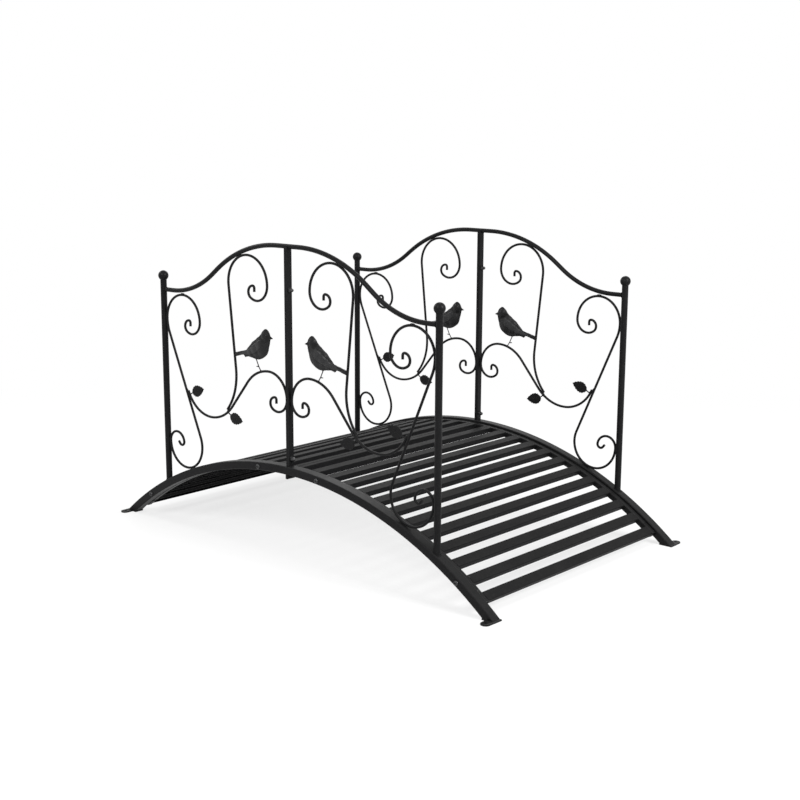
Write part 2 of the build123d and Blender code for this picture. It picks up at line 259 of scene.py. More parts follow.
finishes = {
    "frame": coatMaterial("satinBlackBar", {"dust": 0.26}),
    "railing": coatMaterial("satinBlackRail", {"rough": 0.27}),
    "walkway": coatMaterial("satinBlackSlat", {
        "dust": 0.3, "rub": 0.16, "rubScale": 34.0, "rough": 0.36, "shine": 0.04,
    }),
    "scrollwork": coatMaterial("satinBlackRod", {"specks": 640.0, "dust": 0.16, "rough": 0.26}),
    "ornament": coatMaterial("blackLeafPlate", {
        "specks": 700.0, "rough": 0.34, "tone": (0.011, 0.011, 0.0115),
    }),
    "bird": coatMaterial("blackFeathers", {
        # tips: the colour of the painted highlight on the raised feathers
        "tone": (0.007, 0.007, 0.0075), "paintedHighlightTips": (0.026, 0.026, 0.027), "rough": 0.26, "shine": 0.15,
        "peelDepth": 0.0003, "bump": 0.6, "peelShare": 0.4,
        "barbLength": 7.0, "barbWidth": 0.8, "barbLean": 36.0,
    }),
    "fastener": coatMaterial("blackenedSteel", {
        "deep": (0.02, 0.02, 0.021), "tone": (0.05, 0.05, 0.051), "speck": (0.06, 0.06, 0.061),
        "rough": 0.18, "shine": 0.4, "metal": 0.7, "rub": 0.4, "rubScale": 220.0,
    }),
    "weld": coatMaterial("coatedWeld", {"peel": 1500.0}),
}
for name, node in frame["nodes"].items():
    subpart = next(part for part in frame["record"]["subparts"] if part["node"] == name)
    finish = "bird" if name.endswith("bird") else subpart["material_slot"]
    node.data.materials.clear()
    node.data.materials.append(finishes[finish])
print("finishes on the frame's nodes")


def newPiece(name, mesh):
    piece = bpy.data.objects.new(name, mesh)
    bpy.context.collection.objects.link(piece)
    return piece


def meshFrom(work, name):
    mesh = bpy.data.meshes.new(name)
    work.to_mesh(mesh)
    work.free()
    return mesh


def addMesh(name, vertices, faces):
    mesh = bpy.data.meshes.new(name)
    mesh.from_pydata([tuple(v) for v in vertices], [], faces)
    mesh.update()
    return newPiece(name, mesh)


def shadeSmooth(mesh):
    mesh.polygons.foreach_set("use_smooth", [True] * len(mesh.polygons))


def makePlain(piece):  # what the modifiers give, as the piece's own mesh
    bpy.context.view_layer.update()
    plain = bpy.data.meshes.new_from_object(piece.evaluated_get(bpy.context.evaluated_depsgraph_get()))
    piece.modifiers.clear()
    piece.data = plain


def outward(piece):
    work = bmesh.new()
    work.from_mesh(piece.data)
    bmesh.ops.remove_doubles(work, verts=work.verts, dist=sameSpot)
    bmesh.ops.recalc_face_normals(work, faces=work.faces)
    work.to_mesh(piece.data)
    work.free()
    return piece


def mergedNode(name):  # a copy of a frame node with its loose triangles joined
    work = bmesh.new()
    work.from_mesh(frame["nodes"][name].data)
    bmesh.ops.remove_doubles(work, verts=work.verts, dist=mergeDistance)
    return work


# arch bars and side rails: swept smooth, with the frame's own shape at their ends
bar = {
    "stations": 80, "cornerSteps": 5, "archCorner": 2.0, "railCorner": 1.5,
    "crownEnd": 3.0, "railFoot": 22.0, "plateTop": 2.6, "pastGround": 14.0,
}
# top radius, width, depth, corner, middle across the bridge, and the length left at the foot;
# an arch bar has no such length, because it is swept down to its foot plate
barKinds = {
    "arch_bar": (archRadius, bridge["barWidth"], bridge["barDepth"], bar["archCorner"], panelY, None),
    "side_rail": (
        deckRadius, bridge["sideRail"], bridge["sideRail"], bar["railCorner"], sideRailY, bar["railFoot"],
    ),
}


def barSection(width, depth, corner):
    points = []
    for quarter, (across, down) in enumerate(((1, 1), (-1, 1), (-1, -1), (1, -1))):
        for step in range(bar["cornerSteps"] + 1):
            angle = radians(90 * quarter + 90 * step / bar["cornerSteps"])
            points.append((
                across * (width / 2 - corner) + corner * cos(angle),
                down * (depth / 2 - corner) + corner * sin(angle),
            ))
    return points


def sweptBar(section, side, end, middleRadius, middle, inner, outer):
    whole = bmesh.new()
    rows = []
    for station in range(bar["stations"] + 1):
        turn = inner + (outer - inner) * station / bar["stations"]
        row = []
        for across, down in section:
            far = middleRadius + down
            spot = (end * far * sin(turn), side * middle + across, archCentre + far * cos(turn))
            row.append(whole.verts.new([value / 1000 for value in spot]))
        rows.append(row)
    for first, second in zip(rows, rows[1:]):
        for place in range(len(section)):
            after = (place + 1) % len(section)
            whole.faces.new((first[place], first[after], second[after], second[place]))
    whole.faces.new(rows[0])
    whole.faces.new(rows[-1])
    return whole


def keepBeyond(work, cut, direction):  # what lies past the cut, closed again
    everything = work.verts[:] + work.edges[:] + work.faces[:]
    bmesh.ops.bisect_plane(work, geom=everything, plane_co=cut, plane_no=direction, clear_inner=True)
    bmesh.ops.holes_fill(work, edges=[edge for edge in work.edges if edge.is_boundary])


def addBarEnd(whole, name, cut, direction):
    part = mergedNode(name)
    keepBeyond(part, cut, direction)
    mesh = meshFrom(part, "barEnd")
    whole.from_mesh(mesh)
    bpy.data.meshes.remove(mesh)


def cutAcross(radius, turn, end):  # the spot on the bar's top where it is cut, in metres
    return end * radius * sin(turn) / 1000, 0.0, (archCentre + radius * cos(turn)) / 1000


def smoothBar(name, side, end, kind):
    radius, width, depth, corner, middle, foot = barKinds[kind]
    reach = max(abs(spot[0]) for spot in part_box(name)) * 1000
    inner = asin(bar["crownEnd"] / radius)
    outer = asin((reach + bar["pastGround"] if foot is None else reach - foot) / radius)
    section = barSection(width, depth, corner)
    whole = sweptBar(section, side, end, radius - depth / 2, middle, inner, outer)
    if foot is None:
        plateTop = (0.0, 0.0, bar["plateTop"] / 1000)
        keepBeyond(whole, plateTop, (0.0, 0.0, 1.0))
        addBarEnd(whole, name, plateTop, (0.0, 0.0, -1.0))
    else:
        addBarEnd(whole, name, cutAcross(radius, outer, end), (end * cos(outer), 0.0, -sin(outer)))
    addBarEnd(whole, name, cutAcross(radius, inner, end), (-end * cos(inner), 0.0, sin(inner)))
    piece = outward(newPiece(name + "_smooth", meshFrom(whole, name + "_smooth")))
    piece.data.materials.append(finishes["frame"])
    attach(piece, "root")
    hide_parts(name)


for sideName, side in (("front", -1), ("rear", 1)):
    for endName, end in (("left", -1), ("right", 1)):
        for kind in barKinds:
            smoothBar(f"{sideName}_{endName}_{kind}", side, end, kind)
print("bars swept")

# pieces that repeat: fasteners, welds, veins and eyes
ripple = {"scale": 650.0, "seed": 7, "railing": 0.0006, "walkway": 0.0003}


def placedPiecesTree():
    tree = bpy.data.node_groups.new("placedPieces", "GeometryNodeTree")
    tree.is_modifier = True
    sockets = (
        ("Places", "Geometry"), ("Pattern", "Object"), ("Ripple", "Float"), ("Ripple scale", "Float"),
        ("Seed", "Int"), ("Finish", "Material"),
    )
    for label, kind in sockets:
        tree.interface.new_socket(name=label, in_out="INPUT", socket_type="NodeSocket" + kind)
    tree.interface.new_socket(name="Pieces", in_out="OUTPUT", socket_type="NodeSocketGeometry")
    given = tree.nodes.new("NodeGroupInput")
    made = tree.nodes.new("NodeGroupOutput")

    def stored(name):
        node = tree.nodes.new("GeometryNodeInputNamedAttribute")
        node.data_type = "FLOAT_VECTOR"
        node.inputs["Name"].default_value = name
        return node.outputs["Attribute"]

    pattern = tree.nodes.new("GeometryNodeObjectInfo")
    tree.links.new(given.outputs["Pattern"], pattern.inputs["Object"])
    turn = tree.nodes.new("FunctionNodeEulerToRotation")
    tree.links.new(stored("turn"), turn.inputs[0])
    place = tree.nodes.new("GeometryNodeInstanceOnPoints")
    tree.links.new(given.outputs["Places"], place.inputs["Points"])
    tree.links.new(pattern.outputs["Geometry"], place.inputs["Instance"])
    tree.links.new(turn.outputs[0], place.inputs["Rotation"])
    tree.links.new(stored("stretch"), place.inputs["Scale"])
    realize = tree.nodes.new("GeometryNodeRealizeInstances")
    tree.links.new(place.outputs[0], realize.inputs[0])
    noise = tree.nodes.new("ShaderNodeTexNoise")
    noise.noise_dimensions = "4D"
    tree.links.new(given.outputs["Ripple scale"], noise.inputs["Scale"])
    tree.links.new(given.outputs["Seed"], noise.inputs["W"])
    centre = tree.nodes.new("ShaderNodeVectorMath")
    centre.operation = "SUBTRACT"
    tree.links.new(noise.outputs["Color"], centre.inputs[0])
    centre.inputs[1].default_value = (0.5, 0.5, 0.5)  # noise lies about a half, so this pushes both ways
    push = tree.nodes.new("ShaderNodeVectorMath")
    push.operation = "SCALE"
    tree.links.new(centre.outputs[0], push.inputs[0])
    tree.links.new(given.outputs["Ripple"], push.inputs["Scale"])
    move = tree.nodes.new("GeometryNodeSetPosition")
    tree.links.new(realize.outputs[0], move.inputs["Geometry"])
    tree.links.new(push.outputs[0], move.inputs["Offset"])
    finish = tree.nodes.new("GeometryNodeSetMaterial")
    tree.links.new(move.outputs[0], finish.inputs["Geometry"])
    tree.links.new(given.outputs["Finish"], finish.inputs["Material"])
    tree.links.new(finish.outputs[0], made.inputs[0])
    return tree


placedPieces = placedPiecesTree()


def repeatPiece(name, pattern, places, finish, rippleHeight=0.0):
    spots = addMesh(name, [place[0] / 1000 for place in places], [])
    for label, column in (("turn", 1), ("stretch", 2)):
        stored = spots.data.attributes.new(label, "FLOAT_VECTOR", "POINT")
        stored.data.foreach_set("vector", [value for place in places for value in place[column]])
    repeat = spots.modifiers.new("repeat", "NODES")
    repeat.node_group = placedPieces
    values = {
        "Pattern": pattern, "Ripple": rippleHeight, "Ripple scale": ripple["scale"],
        "Seed": ripple["seed"], "Finish": finishes[finish],
    }
    for item in placedPieces.interface.items_tree:
        if item.in_out == "INPUT" and item.name in values:
            repeat[item.identifier] = values[item.name]
    makePlain(spots)
    spots.data.name = name
    bpy.data.objects.remove(pattern)
    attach(spots, "root")


def turnedPattern(name, rings, sides=24):  # each ring is a radius, a height and whether it has six flats
    vertices = []
    for radius, height, flats in rings:
        for step in range(sides):
            angle = 2 * pi * step / sides
            reach = radius / cos((angle % (pi / 3)) - pi / 6) if flats else radius
            vertices.append((reach * cos(angle) / 1000, reach * sin(angle) / 1000, height / 1000))
    faces = []
    for ring in range(len(rings) - 1):
        low = ring * sides
        high = low + sides
        for step in range(sides):
            after = (step + 1) % sides
            faces.append((low + step, low + after, high + after, high + step))
    faces.append(tuple(reversed(range(sides))))
    faces.append(tuple((len(rings) - 1) * sides + step for step in range(sides)))
    return outward(addMesh(name, vertices, faces))


def beadPattern(name, detail=2):
    work = bmesh.new()
    bmesh.ops.create_icosphere(work, subdivisions=detail, radius=0.001)
    mesh = meshFrom(work, name)
    shadeSmooth(mesh)
    return newPiece(name, mesh)


def facing(direction):
    return tuple(Vector((0, 0, 1)).rotation_difference(Vector(direction)).to_euler())


# button heads, nuts on washers with the bolt's tail, and cap nuts; heights are above the face, in mm
fastener = {
    "sunk": -0.2, "headRadius": 4.9, "headHeight": 2.8, "socket": 1.5, "socketFloor": 1.1,
    "washerRadius": 5.2, "washer": 0.9, "nutRadius": 4.0, "nutHeight": 4.0, "nutRim": 3.7, "chamfer": 0.8,
    "boltRadius": 2.45, "tail": 2.4,
}
nutTop = fastener["nutHeight"] + fastener["chamfer"]
boltRings = [
    (fastener["headRadius"], fastener["sunk"], False), (fastener["headRadius"], 0.5, False),
    (4.55, 1.35, False), (3.75, 2.1, False), (2.7, 2.62, False), (1.95, fastener["headHeight"], False),
    (fastener["socket"], fastener["headHeight"] - 0.05, True),
    (fastener["socket"], fastener["socketFloor"], True),
]
nutRings = [
    (fastener["washerRadius"], fastener["sunk"], False),
    (fastener["washerRadius"], fastener["washer"], False),
    (fastener["nutRadius"], 0.95, False), (fastener["nutRadius"], 1.2, True),
    (fastener["nutRadius"], fastener["nutHeight"] + 0.3, True), (fastener["nutRim"], nutTop, False),
    (fastener["boltRadius"], nutTop, False), (fastener["boltRadius"], nutTop + fastener["tail"], False),
    (2.1, nutTop + fastener["tail"] + 0.4, False),
]
capRings = [
    (fastener["headRadius"], fastener["sunk"], False), (fastener["headRadius"], 0.8, False),
    (fastener["nutRadius"], 0.85, True), (fastener["nutRadius"], fastener["nutHeight"], True),
    (3.75, 4.3, False), (3.7, 5.6, False), (3.3, 7.2, False), (2.5, 8.5, False), (1.3, 9.3, False),
    (0.3, 9.55, False),
]
heads = []
nuts = []
caps = []
for side in (-1, 1):
    for end in (-1, 1):
        for distance in bridge["deckBolts"]:
            height = archHeight(distance, bridge["boltDrop"])
            outside = Vector((end * distance, side * (panelY + bridge["barWidth"] / 2), height))
            inside = Vector((end * distance, side * slatEndY, height))
            heads.append((outside, facing((0, side, 0)), unstretched))
            nuts.append((inside, facing((0, -side, 0)), unstretched))
    for height in bridge["uprightBolts"]:
        left = Vector((-bridge["uprightFace"], side * panelY, height))
        right = Vector((bridge["uprightFace"], side * panelY, height))
        heads.append((left, facing((-1, 0, 0)), unstretched))
        caps.append((right, facing((1, 0, 0)), unstretched))
repeatPiece("boltHeads", turnedPattern("boltPattern", boltRings), heads, "fastener")
repeatPiece("deckNuts", turnedPattern("nutPattern", nutRings), nuts, "fastener")
repeatPiece("capNuts", turnedPattern("capPattern", capRings), caps, "fastener")
print("fasteners placed")

# where the rods of one panel touch, worked out as the frame's own bends are
scrolls = {
    "postLoop": 51.5, "lowerLoop": 50.5, "postShoulder": 70.0, "hookLoop": 55.5, "hookMiddle": 113.0,
    "hookLean": 6.0, "hookFootRadius": 110.0, "hookFootTurn": 48.0, "branchLoop": 49.5, "branchTop": 361.0,
    "branchShoulder": 80.0, "branchStraight": 72.0, "branchLow": 246.5, "branchEnd": 75.0,
    "birdPerch": 16.0, "tailHeight": 23.0, "upperLeaf": 60.0, "lowerLeaf": 37.5, "stem": 10.5,
}
postFace = bridge["postX"] - bridge["postSize"] / 2
railUnder = bridge["railEnd"] - bridge["topRail"] / 2

# the post scroll: its upper loop, its lower loop, and the straight fall between them
postLoop = Vector((
    postFace - reachRod - scrolls["postLoop"],
    railUnder - reachRod - scrolls["postLoop"],
))
lowerLoopX = postFace - reachRod - scrolls["lowerLoop"]
lowerLoopFar = archRadius + reachRod + scrolls["lowerLoop"]
lowerLoop = Vector((lowerLoopX, archCentre + sqrt(lowerLoopFar**2 - lowerLoopX**2)))
shoulder = Vector((postLoop.x + scrolls["postLoop"] - scrolls["postShoulder"], postLoop.y))
between = lowerLoop - shoulder
bothLoops = scrolls["postShoulder"] + scrolls["lowerLoop"]
fallHeading = degrees(atan2(between.y, between.x) - asin(bothLoops / between.length))
fallTurn = radians(-90 - fallHeading)
fallSide = Vector((cos(fallTurn), -sin(fallTurn)))
fallStart = shoulder + scrolls["postShoulder"] * fallSide
archTouch = degrees(atan2(lowerLoop.y - archCentre, lowerLoop.x))

# the branch: its loop at the upright, its low sag, and its end on the post scroll's fall
branchLoop = Vector((
    bridge["uprightFace"] + reachRod + scrolls["branchLoop"],
    scrolls["branchTop"] - scrolls["branchLoop"],
))
branchLine = fallStart - (bridge["rod"] + bridge["gap"]) * fallSide
endTurn = radians(180 + fallHeading)
branchEndY = scrolls["branchLow"] + scrolls["branchEnd"] * (1 - cos(endTurn))
branchEnd = Vector((branchLine.x - (branchLine.y - branchEndY) * tan(fallTurn), branchEndY))
branchLowX = branchEnd.x - scrolls["branchEnd"] * sin(endTurn)
branchReach = branchLowX - branchLoop.x
branchDrop = scrolls["branchTop"] - scrolls["branchLow"]
branchFall = 2 * atan(branchDrop / (branchReach + scrolls["branchStraight"]))
branchArcs = (branchReach - scrolls["branchStraight"] * cos(branchFall)) / sin(branchFall)
branchSag = branchArcs - scrolls["branchShoulder"]
sagMiddle = Vector((branchLowX, scrolls["branchLow"] + branchSag))

# the hook: its loop under the crown bend, and its foot on the branch's sag
crownMiddle = Vector((bridge["crownFlat"], bridge["railCrown"] - bridge["crownRadius"]))
crownInside = bridge["crownRadius"] - bridge["topRail"] / 2
hookGap = crownInside - reachRod - scrolls["hookLoop"]
hookAside = scrolls["hookMiddle"] - crownMiddle.x
hookMiddle = Vector((scrolls["hookMiddle"], crownMiddle.y + sqrt(hookGap**2 - hookAside**2)))
hookShoulder = polar(hookMiddle, scrolls["hookLoop"], -scrolls["hookLean"])
hookAhead = radians(-90 - scrolls["hookLean"])
hookEnd = hookAhead + radians(scrolls["hookFootTurn"])
footBend = Vector((sin(hookEnd) - sin(hookAhead), cos(hookAhead) - cos(hookEnd)))
footArc = scrolls["hookFootRadius"] * footBend
ahead = Vector((cos(hookAhead), sin(hookAhead)))
toFoot = hookShoulder + footArc - sagMiddle
footReach = branchSag - bridge["rod"] - bridge["gap"]
footAlong = toFoot.dot(ahead)
footShift = -footAlong + sqrt(footAlong**2 - toFoot.dot(toFoot) + footReach**2)
hookFoot = sagMiddle + (toFoot + ahead * footShift).normalized() * (branchSag - halfRod)
railTouch = hookMiddle - crownMiddle
railAngle = degrees(atan2(railTouch.y, railTouch.x))

# the bird on the branch's shoulder, its tail at the hook, and the leaves' roots
perch = (branchLoop.x, scrolls["branchTop"] - scrolls["branchShoulder"])
birdFoot = polar(perch, scrolls["branchShoulder"] + reachRod, 90 - scrolls["birdPerch"])
tailY = birdFoot.y + scrolls["tailHeight"]
tailX = hookShoulder.x - (hookShoulder.y - tailY) * tan(radians(scrolls["hookLean"]))
upperTurn = radians(scrolls["upperLeaf"])
lowerTurn = radians(scrolls["lowerLeaf"])
upperRoot = Vector((
    branchLowX + scrolls["branchEnd"] * sin(upperTurn),
    scrolls["branchLow"] + scrolls["branchEnd"] * (1 - cos(upperTurn)),
))
lowerRoot = sagMiddle + branchSag * Vector((-sin(lowerTurn), -cos(lowerTurn)))

# each bead's half length, half height and half thickness
weld = {
    "long": (5.5, 1.3, 1.9), "hookFoot": (6.5, 1.5, 2.0), "branchEnd": (6.0, 1.5, 2.0),
    "birdFoot": (2.4, 1.0, 1.5), "tail": (3.4, 1.0, 1.5), "leaf": (2.2, 1.0, 1.4), "crown": (2.4, 1.2, 3.0),
    "birdFootDrop": 0.3,
}
# rings of small beads, each with its half sizes along, across and up
weldRing = {
    "postCount": 14, "postRadius": 6.9, "postLift": 0.1, "postBead": (1.1, 2.0, 1.1),
    "copeCount": 10, "copeRadius": 4.7, "copeGap": 0.1, "copeBead": (0.9, 1.5, 1.5),
    "uprightSpots": (-4.0, 0.0, 4.0), "uprightLift": 0.2, "uprightBead": (1.0, 2.6, 1.0),
}
# a bead's point on the panel, its heading and its kind
touches = [
    ((postLoop.x, railUnder), 0, "long"),
    ((postFace, postLoop.y), 90, "long"),
    ((postFace, lowerLoop.y), 90, "long"),
    (polar((0, archCentre), archRadius, archTouch), archTouch - 90, "long"),
    ((bridge["uprightFace"], branchLoop.y), 90, "long"),
    (polar(crownMiddle, crownInside, railAngle), railAngle - 90, "long"),
    (hookFoot, degrees(hookEnd), "hookFoot"),
    (branchEnd + halfRod * fallSide, fallHeading, "branchEnd"),
    (birdFoot - Vector((0, weld["birdFootDrop"])), -scrolls["birdPerch"], "birdFoot"),
    ((tailX - halfRod, tailY), 90 - scrolls["hookLean"], "tail"),
    (polar(upperRoot, halfRod, scrolls["upperLeaf"] + 90), scrolls["upperLeaf"], "leaf"),
    (polar(lowerRoot, halfRod, 270 - scrolls["lowerLeaf"]), -scrolls["lowerLeaf"], "leaf"),
    ((bridge["uprightFace"], bridge["railCrown"] - bridge["topRail"] / 2), 0, "crown"),
]


def onPanel(point, side, end, lift=0.0):
    return Vector((end * point[0], side * panelY + lift, point[1]))


def turnInPanel(heading, end):
    return (0.0, -radians(heading if end > 0 else 180 - heading), 0.0)


def panelBeads(side, end):
    beads = []
    for point, heading, kind in touches:
        long, high, thick = weld[kind]
        beads.append((onPanel(point, side, end), turnInPanel(heading, end), (long, thick, high)))
    around = weldRing["postRadius"]
    for step in range(weldRing["postCount"]):
        angle = 2 * pi * step / weldRing["postCount"]
        u = bridge["postX"] + around * cos(angle)
        y = side * panelY + around * sin(angle)
        foot = Vector((end * u, y, archHeight(u) + weldRing["postLift"]))
        beads.append((foot, (0.0, 0.0, angle if end > 0 else pi - angle), weldRing["postBead"]))
    around = weldRing["copeRadius"]
    for step in range(weldRing["copeCount"]):
        angle = 2 * pi * step / weldRing["copeCount"]
        y = side * panelY + around * cos(angle)
        cope = Vector((end * (postFace - weldRing["copeGap"]), y, bridge["railEnd"] + around * sin(angle)))
        beads.append((cope, unturned, weldRing["copeBead"]))
    for across in weldRing["uprightSpots"]:
        y = side * panelY + across
        spot = Vector((end * bridge["uprightFace"], y, bridge["rise"] + weldRing["uprightLift"]))
        beads.append((spot, unturned, weldRing["uprightBead"]))
    return beads


beads = []
for side in (-1, 1):
    for end in (-1, 1):
        beads.extend(panelBeads(side, end))
repeatPiece("railingWelds", beadPattern("railBead"), beads, "weld", ripple["railing"])

# tacks at the slats' folded edges and at the crown bars
tack = {"inset": 0.2, "bead": (0.9, 1.0, 3.4), "crownU": 12.1, "crownBead": (0.9, 1.0, 3.6)}
tackRadius = deckRadius - bridge["sideRail"] / 2
tackY = slatEndY - tack["inset"]
tacks = []
for end in (-1, 1):
    for count in range(bridge["slatCount"]):
        turn = (bridge["firstSlat"] + count * bridge["slatPitch"]) / deckRadius
        for edge in (-1, 1):
            across = edge * bridge["slatWidth"] / 2
            u = tackRadius * sin(turn) + across * cos(turn)
            height = archCentre + tackRadius * cos(turn) - across * sin(turn)
            for side in (-1, 1):
                tacks.append((Vector((end * u, side * tackY, height)), (0.0, end * turn, 0.0), tack["bead"]))
    for side in (-1, 1):
        spot = Vector((end * tack["crownU"], side * tackY, archCentre + tackRadius))
        tacks.append((spot, unturned, tack["crownBead"]))
repeatPiece("walkwayWelds", beadPattern("tackBead", 1), tacks, "weld", ripple["walkway"])
print("welds placed")

# leaves: a midrib and side veins on both faces; shares are of the leaf's length, or of its width for reach
leaf = {
    "length": 37.0, "width": 24.0, "thickness": 2.0, "upperTurn": 162.0, "lowerTurn": 189.0,
    "midribAt": 0.47, "midribHalf": 0.45, "midribAcross": 0.45, "midribHigh": 0.7,
    "firstRib": 0.2, "ribStep": 0.17, "ribReach": (0.21, 0.22, 0.17, 0.11), "ribTurn": 38.0,
    "ribAcross": 0.28, "ribHigh": 0.42,
}


def leafRibs(base, turn):  # the middle, heading and half sizes of each rib
    long = leaf["length"] * leaf["midribHalf"]
    middle = polar(base, leaf["length"] * leaf["midribAt"], turn)
    ribs = [(middle, turn, (long, leaf["midribAcross"], leaf["midribHigh"]))]
    for rib, share in enumerate(leaf["ribReach"]):
        along = leaf["length"] * (leaf["firstRib"] + leaf["ribStep"] * rib)
        reach = leaf["width"] * share
        for wing in (-1, 1):
            heading = turn + wing * leaf["ribTurn"]
            middle = polar(polar(base, along, turn), reach, heading)
            ribs.append((middle, heading, (reach, leaf["ribAcross"], leaf["ribHigh"])))
    return ribs


veins = []
for root, stemTurn, turn in (
    (upperRoot, scrolls["upperLeaf"] + 90, leaf["upperTurn"]),
    (lowerRoot, 270 - scrolls["lowerLeaf"], leaf["lowerTurn"]),
):
    ribs = leafRibs(polar(root, scrolls["stem"], stemTurn), turn)
    for side in (-1, 1):
        for end in (-1, 1):
            for face in (-1, 1):
                lift = face * leaf["thickness"] / 2
                for middle, heading, sizes in ribs:
                    veins.append((onPanel(middle, side, end, lift), turnInPanel(heading, end), sizes))
repeatPiece("leafVeins", beadPattern("vein"), veins, "ornament")

# birds: the frame's crowned bodies, rounded over and feathered; u and v run from the bird's foot
bird = {
    "lenses": (
        (-3.0, 46.0, 21.0, 6.0), (12.0, 41.0, 17.0, 5.4),
        (26.0, 33.0, 11.0, 3.96), (-14.5, 67.5, 13.0, 5.04),
    ),
    "plate": 1.5, "voxel": 0.65, "skinRounding": 2, "rounding": 12, "smoothing": 0.5,
    "legTop": 21.5, "beakFrom": -28.5, "tailFrom": 52.0, "tailRoot": 8.0, "tailLines": 3.0, "tailDepth": 0.35,
    "wingStart": (-9.0, 56.0), "wingEnd": (59.0, 25.5), "wingHalf": 10.5, "wingSag": 4.5, "wingLift": 1.1,
    "wingPeak": 0.55, "wingRound": 0.75, "wingTaper": 0.35, "wingThinnest": 0.2, "wingRim": 3, "wingOnset": 8,
    "quills": 5, "quillDepth": 0.5, "quillOnset": 3, "row": 5.0, "feather": 3.8, "lean": 36.0,
    "featherLift": 0.55, "coverFade": 2.2, "domeMiddle": 0.3, "domeLength": 0.95, "domeWidth": 0.62,
    "domeShare": 0.6, "head": (-14.5, 67.5, 14.0), "headFade": 2, "headSmooth": 1.6, "highest": 1.6,
    "sideGain": 3, "sideFrom": 0.3, "eye": (-19.5, 71.0, 1.35), "eyeDepth": 0.6,
}


def within(value):
    return min(1.0, max(0.0, value))


def birdFace(u, v):  # how far the body stands out from the panel at a point
    depth = bird["plate"]
    for x, y, radius, height in bird["lenses"]:
        ball = (radius**2 + height**2) / (2 * height)
        off = hypot(u - x, v - y)
        if off < radius:
            depth = max(depth, sqrt(ball**2 - off**2) - ball + height)
    return depth


def featherDome(u, v):  # staggered feathers, each row over the next one's roots
    lean = radians(bird["lean"])
    along = (u * cos(lean) - v * sin(lean)) / bird["row"]
    across = (u * sin(lean) + v * cos(lean)) / bird["feather"]
    highest = 0.0
    for row in (floor(along) - 1, floor(along), floor(along) + 1):
        shift = 0.5 * (row % 2)
        aside = across - shift - floor(across - shift + 0.5)
        back = along - row
        off = hypot((back - bird["domeMiddle"]) / bird["domeLength"], aside / bird["domeWidth"])
        if off < 1.0:
            dome = bird["domeShare"] * sqrt(1 - off * off) + (1 - bird["domeShare"]) * max(0.0, back)
            highest = max(highest, dome)
    return highest


def wingRelief(share, across, feathers):  # share runs from the shoulder, across from one rim to the other
    rim = min(1.0, bird["wingRim"] * (1 - abs(across)), bird["wingOnset"] * share)
    lines = sqrt(abs(sin(pi * bird["quills"] * (across + 1) / 2)))
    quill = lines * within(bird["quillOnset"] * share - 1)
    cover = feathers * max(0.0, 1 - bird["coverFade"] * share)
    return rim * (bird["wingLift"] + bird["quillDepth"] * quill + bird["featherLift"] * cover)


def birdRelief(u, v):
    run = Vector(bird["wingEnd"]) - Vector(bird["wingStart"])
    offset = Vector((u, v)) - Vector(bird["wingStart"])
    share = offset.dot(run) / run.length_squared
    away = hypot(u - bird["head"][0], v - bird["head"][1]) / bird["head"][2]
    feathers = featherDome(u, v) * within(bird["headFade"] * away - bird["headSmooth"])
    if 0.0 < share < 1.0:
        normal = Vector((-run.y, run.x)).normalized()
        outline = sin(pi * share**bird["wingPeak"]) ** bird["wingRound"]
        half = bird["wingHalf"] * outline * (1 - bird["wingTaper"] * share)
        across = (offset.dot(normal) + bird["wingSag"] * sin(pi * share)) / max(half, bird["wingThinnest"])
        if abs(across) < 1.0:
            return wingRelief(share, across, feathers)
    if u > bird["tailFrom"] - bird["tailRoot"]:
        return bird["tailDepth"] * abs(sin(pi * v / bird["tailLines"]))
    return bird["featherLift"] * feathers


def evenCast(name):  # the frame's bird under one even skin
    piece = newPiece(name + "_cast", meshFrom(mergedNode(name), name + "_cast"))
    skin = piece.modifiers.new("even", "REMESH")
    skin.mode = "VOXEL"
    skin.voxel_size = bird["voxel"] / 1000
    makePlain(piece)
    return piece


def sculptedBird(name, end):
    piece = evenCast(name)

    def place(vertex):
        return end * vertex.co.x * 1000 - birdFoot.x, vertex.co.z * 1000 - birdFoot.y

    cast = bmesh.new()
    cast.from_mesh(piece.data)
    body = []
    for vertex in cast.verts:
        u, v = place(vertex)
        if v > bird["legTop"] and bird["beakFrom"] < u < bird["tailFrom"]:
            body.append(vertex)
    for chosen, times in ((cast.verts[:], bird["skinRounding"]), (body, bird["rounding"])):
        for count in range(times):
            bmesh.ops.smooth_vert(
                cast, verts=chosen, factor=bird["smoothing"],
                use_axis_x=True, use_axis_y=True, use_axis_z=True,
            )
    cast.normal_update()
    relief = cast.verts.layers.float.new("relief")
    for vertex in cast.verts:
        u, v = place(vertex)
        if v > bird["legTop"] and u > bird["beakFrom"]:
            sideways = within(bird["sideGain"] * (abs(vertex.normal.y) - bird["sideFrom"]))
            vertex[relief] = sideways * birdRelief(u, v) / bird["highest"]
    for vertex in cast.verts:
        vertex.co += vertex.normal * (vertex[relief] * bird["highest"] / 1000)
    cast.to_mesh(piece.data)
    cast.free()
    shadeSmooth(piece.data)
    piece.data.materials.clear()
    piece.data.materials.append(finishes["bird"])
    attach(piece, "root")
    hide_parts(name)


for sideName in ("front", "rear"):
    for endName, end in (("left", -1), ("right", 1)):
        sculptedBird(f"{sideName}_{endName}_bird", end)
eyeU, eyeV, eyeSize = bird["eye"]
eyeLift = birdFace(eyeU, eyeV)
eyes = []
for side in (-1, 1):
    for end in (-1, 1):
        for face in (-1, 1):
            spot = onPanel(birdFoot + Vector((eyeU, eyeV)), side, end, face * eyeLift)
            eyes.append((spot, unturned, (eyeSize, bird["eyeDepth"], eyeSize)))
repeatPiece("birdEyes", beadPattern("eye"), eyes, "fastener")
print("leaves and birds finished")

